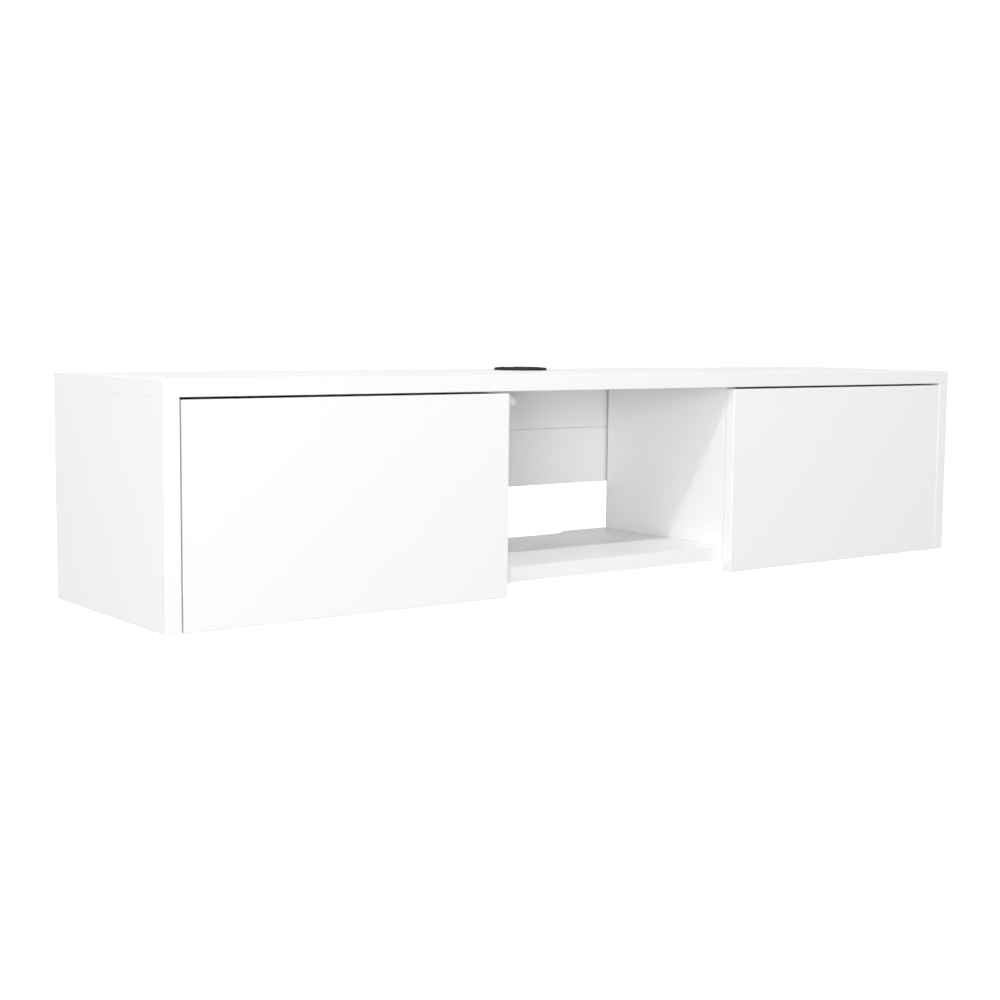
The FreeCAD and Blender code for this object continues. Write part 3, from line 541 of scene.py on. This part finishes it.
def row_of(name, node, maker, places, smooth_angle=35, finish=None):
    """One piece made of copies of a small part at several (place, outward) pairs."""
    whole = bmesh.new()
    pattern = bpy.data.meshes.new("pattern")
    first = maker()
    first.to_mesh(pattern)
    first.free()
    for place, outward in places:
        copy = bmesh.new()
        copy.from_mesh(pattern)
        take(whole, copy, aim(place, outward))
    bpy.data.meshes.remove(pattern)
    return publish(whole, name, node, finish, smooth_angle)


# ---------------------------------------------------------------- boards

def make_boards():
    """Boards with rounded edges; the doors' edges are rounder."""
    for node in ("top_panel", "bottom_panel"):
        dress(node, BOARD_EDGE, BOARD_LEAST, PANEL)
    for node in ("hanging_rail", "wall_rail"):
        dress(node, BOARD_EDGE, BOARD_LEAST, RAIL)
    for side in SIDES:
        dress(f"{side}_side_panel", BOARD_EDGE, BOARD_LEAST, PANEL)
        dress(f"{side}_divider", BOARD_EDGE, BOARD_LEAST, PANEL)
        dress(f"{side}_door", 0.8 * MM, BOARD_LEAST, DOOR)
        dress(f"{side}_back_panel", 0.2 * MM, 100 * MM, BACK)


# ---------------------------------------------------------------- hinges

def hinge_cup(side, place):
    """Pressed cup with a rolled rim and a screw flange."""
    node = f"{side}_{place}_hinge_cup"
    low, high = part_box(node)
    radius = CUP_RADIUS
    back = high.y - CUP_FLANGE
    depth = back - low.y
    wall = 1.0 * MM
    bm = turned([
        (0, -depth), (radius - 2.0 * MM, -depth),
        (radius - 0.6 * MM, -depth + 0.6 * MM),
        (radius, -depth + 2.0 * MM), (radius, 0.0), (19.3 * MM, 0.0),
        (19.5 * MM, 0.25 * MM), (19.3 * MM, 0.6 * MM), (18.6 * MM, 0.8 * MM),
        (17.2 * MM, 0.8 * MM), (16.7 * MM, 0.4 * MM), (radius - wall, -0.4 * MM),
        (radius - wall, -depth + 2.4 * MM), (radius - 1.7 * MM, -depth + 1.4 * MM),
        (radius - 3.2 * MM, -depth + wall), (0, -depth + wall),
    ], 64)
    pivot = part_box(f"{side}_hinge_pins")
    x = (pivot[0].x + pivot[1].x) / 2
    z = (low.z + high.z) / 2
    shell = bmesh.new()
    take(shell, bm, aim((x, back, z), (0, 1, 0)))
    flange = brick((-2 * MM, 0, -30 * MM), (13 * MM, CUP_FLANGE, 30 * MM))
    corners = [
        e for e in flange.edges
        if abs(e.verts[0].co.y - e.verts[1].co.y) > 0.5 * MM
    ]
    bmesh.ops.bevel(flange, geom=corners, offset=3.5 * MM, offset_type="OFFSET",
                    affect="EDGES", segments=6, profile=0.5, material=-1)
    mouth = bmesh.new()
    bmesh.ops.create_cone(mouth, cap_ends=True, segments=64, radius1=17.4 * MM,
                          radius2=17.4 * MM, depth=10 * MM,
                          matrix=Matrix.Rotation(math.radians(90), 4, "X"))
    flange = carve(flange, mouth)
    if side == "right":
        bmesh.ops.scale(flange, vec=(-1, 1, 1), verts=flange.verts)
    take(shell, flange, Matrix.Translation((x, back, z)))
    return publish(shell, f"{side}_{place}_pressed_cup", node, NICKEL, 35)


def make_hinges():
    """Cups, links, arms, plates and their screws on both doors."""
    for side in SIDES:
        for place in PLACES:
            tag = f"{side}_{place}_hinge"
            hinge_cup(side, place)
            for kind in ("link", "arm", "plate"):
                dress(f"{tag}_{kind}", 0.35 * MM, 0.3 * MM, NICKEL, 2, 35)
            adjusters(side, place)
        screws = []
        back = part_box(f"{side}_upper_hinge_cup")[1].y
        for low, high in loose_parts(f"{side}_cup_screws"):
            centre = (low + high) / 2
            screws.append(((centre.x, back, centre.z), (0, 1, 0)))
        row_of(f"{side}_cup_cross_screws", f"{side}_cup_screws",
               lambda: screw(3.6 * MM, 1.4 * MM, 1.75 * MM, 12.4 * MM), screws)
        NODES[f"{side}_hinge_pins"].data.materials[0] = NICKEL
    places = []
    for low, high in loose_parts("plate_screws"):
        centre = (low + high) / 2
        left = centre.x < 0
        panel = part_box("left_side_panel" if left else "right_side_panel")
        face = panel[1].x if left else panel[0].x
        out = 1 if left else -1
        places.append(((face + out * 2 * MM, centre.y, centre.z), (out, 0, 0)))
    row_of("plate_cross_screws", "plate_screws",
           lambda: screw(3.6 * MM, 1.8 * MM, 1.75 * MM, 15.4 * MM), places)


def adjusters(side, place):
    """Depth and side adjusting screws in the top of the hinge arm."""
    arm = f"{side}_{place}_hinge_arm"
    low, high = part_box(arm)
    inward = 1 if side == "left" else -1
    x = high.x if side == "left" else low.x
    z = (low.z + high.z) / 2
    places = [
        ((x, low.y + share * (high.y - low.y), z), (inward, 0, 0))
        for share in (0.5, 0.82)
    ]
    whole = bmesh.new()
    for where, outward in places:
        take(whole, screw(3.1 * MM, 1.1 * MM, 1.2 * MM, 1.2 * MM), aim(where, outward))
    publish(whole, f"{arm}_adjusters", arm, NICKEL, 35, stands_for=False)


# ---------------------------------------------------------------- small fittings

def cam_face(depth, radius):
    """Cam lock case with a cross slot and a raised arrow on its face at Z = 0."""
    bm = turned([
        (0, -depth), (radius - 0.4 * MM, -depth), (radius, -depth + 0.4 * MM),
        (radius, -0.3 * MM), (radius - 0.3 * MM, 0.0), (radius - 1.6 * MM, 0.0),
        (radius - 1.9 * MM, -0.4 * MM), (0, -0.4 * MM),
    ], 40)
    cutter = cross_cutter(3.6 * MM, 1.5 * MM, 3.5 * MM)
    bm = carve(bm, cutter)
    arrow = bmesh.new()
    tips = [(4.6, 0.0), (2.6, 1.1), (2.6, -1.1)]
    face = arrow.faces.new(
        [arrow.verts.new((a * MM, b * MM, -0.5 * MM)) for a, b in tips])
    grown = bmesh.ops.extrude_face_region(arrow, geom=[face])
    lifted = [g for g in grown["geom"] if isinstance(g, bmesh.types.BMVert)]
    bmesh.ops.translate(arrow, vec=(0, 0, 0.4 * MM), verts=lifted)
    take(bm, arrow)
    return bm


def make_cams():
    """Cam locks, each turned to the open face of its bore."""
    places = []
    depth = 0.0
    for low, high in loose_parts("cam_locks"):
        size = high - low
        centre = (low + high) / 2
        axis = min(range(3), key=lambda k: size[k])
        depth = size[axis]
        outward = Vector((0, 0, 0))
        if axis == 0:
            near_side = abs(centre.x) > abs(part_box("right_side_panel")[0].x)
            outward.x = math.copysign(1, centre.x) * (-1 if near_side else 1)
        else:
            outward[axis] = -1
        face = centre.copy()
        face[axis] = high[axis] if outward[axis] > 0 else low[axis]
        places.append((face, outward))
    row_of("cast_cams", "cam_locks", lambda: cam_face(depth, 7.4 * MM), places)


def make_screws_and_nails():
    """Cross-head screws, each with its head where the CAD head is."""
    floor = []
    for low, high in loose_parts("divider_screws"):
        centre = (low + high) / 2
        floor.append(((centre.x, centre.y, low.z + 3.0 * MM), (0, 0, -1)))
    row_of("divider_cross_screws", "divider_screws",
           lambda: screw(5.0 * MM, 2.6 * MM, 2.5 * MM, 46.0 * MM), floor)
    rear = []
    for low, high in loose_parts("rail_screws"):
        centre = (low + high) / 2
        rear.append(((centre.x, high.y - 2.6 * MM, centre.z), (0, 1, 0)))
    row_of("rail_cross_screws", "rail_screws",
           lambda: screw(3.9 * MM, 2.2 * MM, 2.0 * MM, 52.0 * MM), rear)
    catch = []
    for low, high in loose_parts("catch_screws"):
        centre = (low + high) / 2
        out = 1 if centre.x > 0 else -1
        edge = high.x if out > 0 else low.x
        catch.append(((edge - out * 1.6 * MM, centre.y, centre.z), (out, 0, 0)))
    row_of("catch_cross_screws", "catch_screws",
           lambda: screw(2.9 * MM, 1.6 * MM, 1.5 * MM, 14.0 * MM), catch)
    for side in SIDES:
        node = f"{side}_strike_screw"
        low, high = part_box(node)
        centre = (low + high) / 2
        row_of(f"{side}_strike_cross_screw", node,
               lambda: screw(2.6 * MM, 0.5 * MM, 1.5 * MM, 10.4 * MM),
               [((centre.x, high.y - 0.4 * MM, centre.z), (0, 1, 0))])
    NODES["back_panel_nails"].data.materials[0] = NICKEL
    NODES["cam_bolts"].data.materials[0] = NICKEL


def make_dowels():
    """Fluted dowels with chamfered ends."""
    places = []
    half = 0.0
    for low, high in loose_parts("wood_dowels"):
        size = high - low
        axis = max(range(3), key=lambda k: size[k])
        half = size[axis] / 2
        way = Vector((0, 0, 0))
        way[axis] = 1
        places.append(((low + high) / 2, way))

    def dowel():
        radius = 4.0 * MM
        bm = turned([
            (0, -half), (radius - 0.8 * MM, -half), (radius, -half + 0.8 * MM),
            (radius, half - 0.8 * MM), (radius - 0.8 * MM, half), (0, half),
        ], 32)
        for vert in bm.verts:
            ring = math.hypot(vert.co.x, vert.co.y)
            if ring > radius * 0.9:
                turn = round(math.atan2(vert.co.y, vert.co.x) / (2 * math.pi) * 32)
                if turn % 2:
                    vert.co.x *= 0.94
                    vert.co.y *= 0.94
        return bm

    row_of("fluted_dowels", "wood_dowels", dowel, places, smooth_angle=None)


def make_catches():
    """Magnetic catches, their strike plates, and the clear door bumpers."""
    for side in SIDES:
        node = f"{side}_magnetic_catch"
        dress(node, 0.6 * MM, 1.5 * MM, CASE, 3, 40)
        low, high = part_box(node)
        out = 1 if side == "right" else -1
        inner = low.x if out > 0 else high.x
        span = sorted((inner + out * 3.2 * MM, inner + out * 12.8 * MM))
        middle = (low.z + high.z) / 2
        magnet = brick((span[0], low.y - 0.25 * MM, middle - 7 * MM),
                       (span[1], low.y + 2 * MM, middle + 7 * MM), 0.2 * MM)
        publish(magnet, f"{side}_catch_magnet", node, FERRITE, stands_for=False)
        poles = bmesh.new()
        for x in span:
            take(poles, brick((x - 0.6 * MM, low.y - 0.35 * MM, middle - 7.5 * MM),
                              (x + 0.6 * MM, low.y + 2 * MM, middle + 7.5 * MM),
                              0.15 * MM))
        publish(poles, f"{side}_catch_poles", node, NICKEL, stands_for=False)
        dress(f"{side}_strike_plate", 0.25 * MM, 0.2 * MM, NICKEL, 2, 35)

        bumpers = f"{side}_door_bumpers"
        boxes = loose_parts(bumpers)
        rise = boxes[0][1].y - boxes[0][0].y
        row_of(f"{side}_gel_bumpers", bumpers, lambda: turned([
            (0, 0), (4.0 * MM, 0), (4.0 * MM, rise * 0.25), (3.7 * MM, rise * 0.6),
            (3.0 * MM, rise * 0.88), (1.8 * MM, rise), (0, rise),
        ], 32), [
            (((low.x + high.x) / 2, low.y, (low.z + high.z) / 2), (0, 1, 0))
            for low, high in boxes
        ], 50)


# ---------------------------------------------------------------- cable outlet

def make_outlet():
    """Outlet sleeve with its flange, and the slotted cap that sits in it."""
    low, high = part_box("grommet_liner")
    centre = (low + high) / 2
    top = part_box("top_panel")[1].z
    flange = high.x
    sleeve = 29.9 * MM
    bore = 25.5 * MM
    seat = 28.0 * MM
    ledge = top - 2.0 * MM
    bm = turned([
        (bore, low.z + 0.4 * MM), (bore + 0.4 * MM, low.z), (sleeve - 0.6 * MM, low.z),
        (sleeve, low.z + 0.8 * MM), (sleeve, top), (flange - 0.15 * MM, top),
        (flange, top + 0.3 * MM), (flange - 0.35 * MM, top + 1.1 * MM),
        (flange - 1.3 * MM, high.z - 0.2 * MM), (flange - 2.6 * MM, high.z),
        (seat + 0.5 * MM, high.z), (seat, high.z - 0.4 * MM), (seat, ledge),
        (bore + 0.3 * MM, ledge), (bore, ledge - 0.3 * MM),
    ], 96)
    whole = bmesh.new()
    take(whole, bm, Matrix.Translation((0, centre.y, 0)))
    publish(whole, "outlet_flange_ring", "grommet_liner", BLACK, 35)

    low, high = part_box("grommet_cap")
    radius = high.x
    cap = turned([
        (0, low.z), (radius - 0.3 * MM, low.z), (radius, low.z + 0.3 * MM),
        (radius, high.z - 1.0 * MM), (radius - 0.3 * MM, high.z - 0.35 * MM),
        (radius - 1.1 * MM, high.z), (radius - 3.2 * MM, high.z),
        (radius - 4.0 * MM, high.z - 0.7 * MM), (0, high.z - 0.7 * MM),
    ], 96)
    slot = brick((-9 * MM, 10 * MM, low.z - 5 * MM), (9 * MM, 34 * MM, high.z + 5 * MM))
    end = bmesh.new()
    bmesh.ops.create_cone(end, cap_ends=True, segments=40, radius1=9 * MM,
                          radius2=9 * MM, depth=20 * MM,
                          matrix=Matrix.Translation((0, 10 * MM, high.z)))
    cap = carve(carve(cap, end), slot)
    whole = bmesh.new()
    take(whole, cap, Matrix.Translation((0, centre.y, 0)))
    publish(whole, "outlet_lift_out_cap", "grommet_cap", BLACK, 35)


# ---------------------------------------------------------------- setting

def make_floor():
    """Plain pale floor well below the hanging cabinet."""
    bm = bmesh.new()
    bmesh.ops.create_grid(bm, x_segments=1, y_segments=1, size=60.0,
                          matrix=Matrix.Translation((0, 0, FLOOR_LEVEL)))
    mesh = bpy.data.meshes.new("pale_floor")
    bm.to_mesh(mesh)
    bm.free()
    floor = bpy.data.objects.new("pale_floor", mesh)
    bpy.context.scene.collection.objects.link(floor)
    floor.visible_diffuse = False
    floor.visible_glossy = False
    mesh.materials.append(seamless_paper("seamless_paper"))


def area_light(name, place, target, size, power, tint):
    """Rectangular light at a place, turned to a target."""
    data = bpy.data.lights.new(name, "AREA")
    data.shape = "RECTANGLE"
    data.size, data.size_y = size
    data.energy = power
    data.color = tint
    lamp = bpy.data.objects.new(name, data)
    way = Vector(target) - Vector(place)
    lamp.matrix_world = (Matrix.Translation(place)
                         @ way.to_track_quat("-Z", "Y").to_matrix().to_4x4())
    bpy.context.scene.collection.objects.link(lamp)


def make_light():
    """White studio: a backdrop, soft boxes in front and at the left, a key above."""
    world = bpy.data.worlds.new("white_studio")
    world.use_nodes = True
    tree = world.node_tree
    sky = tree.nodes["Background"]
    sky.inputs["Color"].default_value = (1.0, 1.0, 1.0, 1)
    way = add(tree, "ShaderNodeTexCoord")
    toward = add(tree, "ShaderNodeVectorMath",
                 {0: way.outputs["Generated"], 1: BACKDROP_WAY},
                 operation="DOT_PRODUCT")
    strength = add(tree, "ShaderNodeMapRange",
                   {"Value": toward.outputs["Value"], "From Min": 0.70,
                    "From Max": 0.84, "To Min": AMBIENT, "To Max": BACKDROP})
    seen = add(tree, "ShaderNodeLightPath").outputs["Is Camera Ray"]
    shown = maths(tree, "MAXIMUM", seen, strength.outputs["Result"])
    tree.links.new(shown, sky.inputs["Strength"])
    bpy.context.scene.world = world
    for settings in LIGHTS:
        area_light(*settings)


def make_camera():
    """Camera at the left front, a little above the cabinet's top."""
    heading, tilt, roll = (math.radians(a) for a in CAMERA_TURN)
    ahead = Vector((math.sin(heading) * math.cos(tilt),
                    math.cos(heading) * math.cos(tilt), -math.sin(tilt)))
    level = Vector((math.cos(heading), -math.sin(heading), 0))
    above = level.cross(ahead)
    right = math.cos(roll) * level + math.sin(roll) * above
    upward = right.cross(ahead)
    turn = Matrix((right, upward, -ahead)).transposed().to_4x4()
    data = bpy.data.cameras.new("camera")
    data.sensor_width = CAMERA_SENSOR
    data.lens = CAMERA_LENS
    camera = bpy.data.objects.new("camera", data)
    camera.matrix_world = Matrix.Translation(CAMERA_PLACE) @ turn
    bpy.context.scene.collection.objects.link(camera)
    bpy.context.scene.camera = camera


make_boards()
make_hinges()
make_cams()
make_screws_and_nails()
make_dowels()
make_catches()
make_outlet()
make_floor()
make_light()
make_camera()

view = bpy.context.scene.view_settings
view.view_transform = "Standard"
view.look = "None"
view.exposure = 0.0
view.gamma = 1.0
